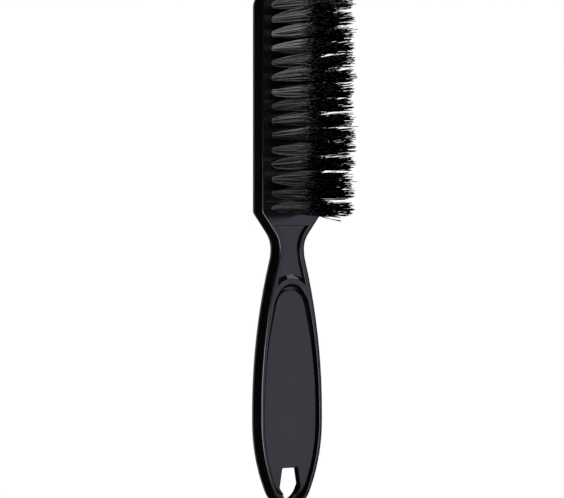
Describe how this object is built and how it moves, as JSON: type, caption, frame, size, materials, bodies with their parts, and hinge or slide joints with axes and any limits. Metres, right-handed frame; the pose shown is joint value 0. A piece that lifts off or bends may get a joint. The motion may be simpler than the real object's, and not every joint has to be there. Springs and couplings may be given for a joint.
{
  "type": "fade brush",
  "caption": "Barber's fade brush: flat black plastic handle with a leaf pocket and hanging hole, and an oblong head set with stiff nylon tufts",
  "frame": {"origin": "middle of the bounding box in plan, on the plane of the flat back", "axes": "X across the brush, +Y from the handle's end to the head's tip, +Z the way the bristles point"},
  "size_m": [0.0258, 0.175, 0.0303],
  "materials": {
    "body_plastic": "gloss moulded",
    "bristle_nylon": "drawn filament",
    "anchor_wire": "drawn flat wire"
  },
  "bodies": {
    "root": {"brush_body": "body_plastic", "tuft_row_01": "bristle_nylon", "tuft_row_02": "bristle_nylon", "tuft_row_03": "bristle_nylon", "tuft_row_04": "bristle_nylon", "tuft_row_05": "bristle_nylon", "tuft_row_06": "bristle_nylon", "tuft_row_07": "bristle_nylon", "tuft_row_08": "bristle_nylon", "tuft_row_09": "bristle_nylon", "tuft_row_10": "bristle_nylon", "tuft_row_11": "bristle_nylon", "tuft_row_12": "bristle_nylon", "tuft_row_13": "bristle_nylon", "tuft_row_14": "bristle_nylon", "tuft_row_15": "bristle_nylon", "anchor_row_01": "anchor_wire", "anchor_row_02": "anchor_wire", "anchor_row_03": "anchor_wire", "anchor_row_04": "anchor_wire", "anchor_row_05": "anchor_wire", "anchor_row_06": "anchor_wire", "anchor_row_07": "anchor_wire", "anchor_row_08": "anchor_wire", "anchor_row_09": "anchor_wire", "anchor_row_10": "anchor_wire", "anchor_row_11": "anchor_wire", "anchor_row_12": "anchor_wire", "anchor_row_13": "anchor_wire", "anchor_row_14": "anchor_wire", "anchor_row_15": "anchor_wire"}
  },
  "joints": []
}
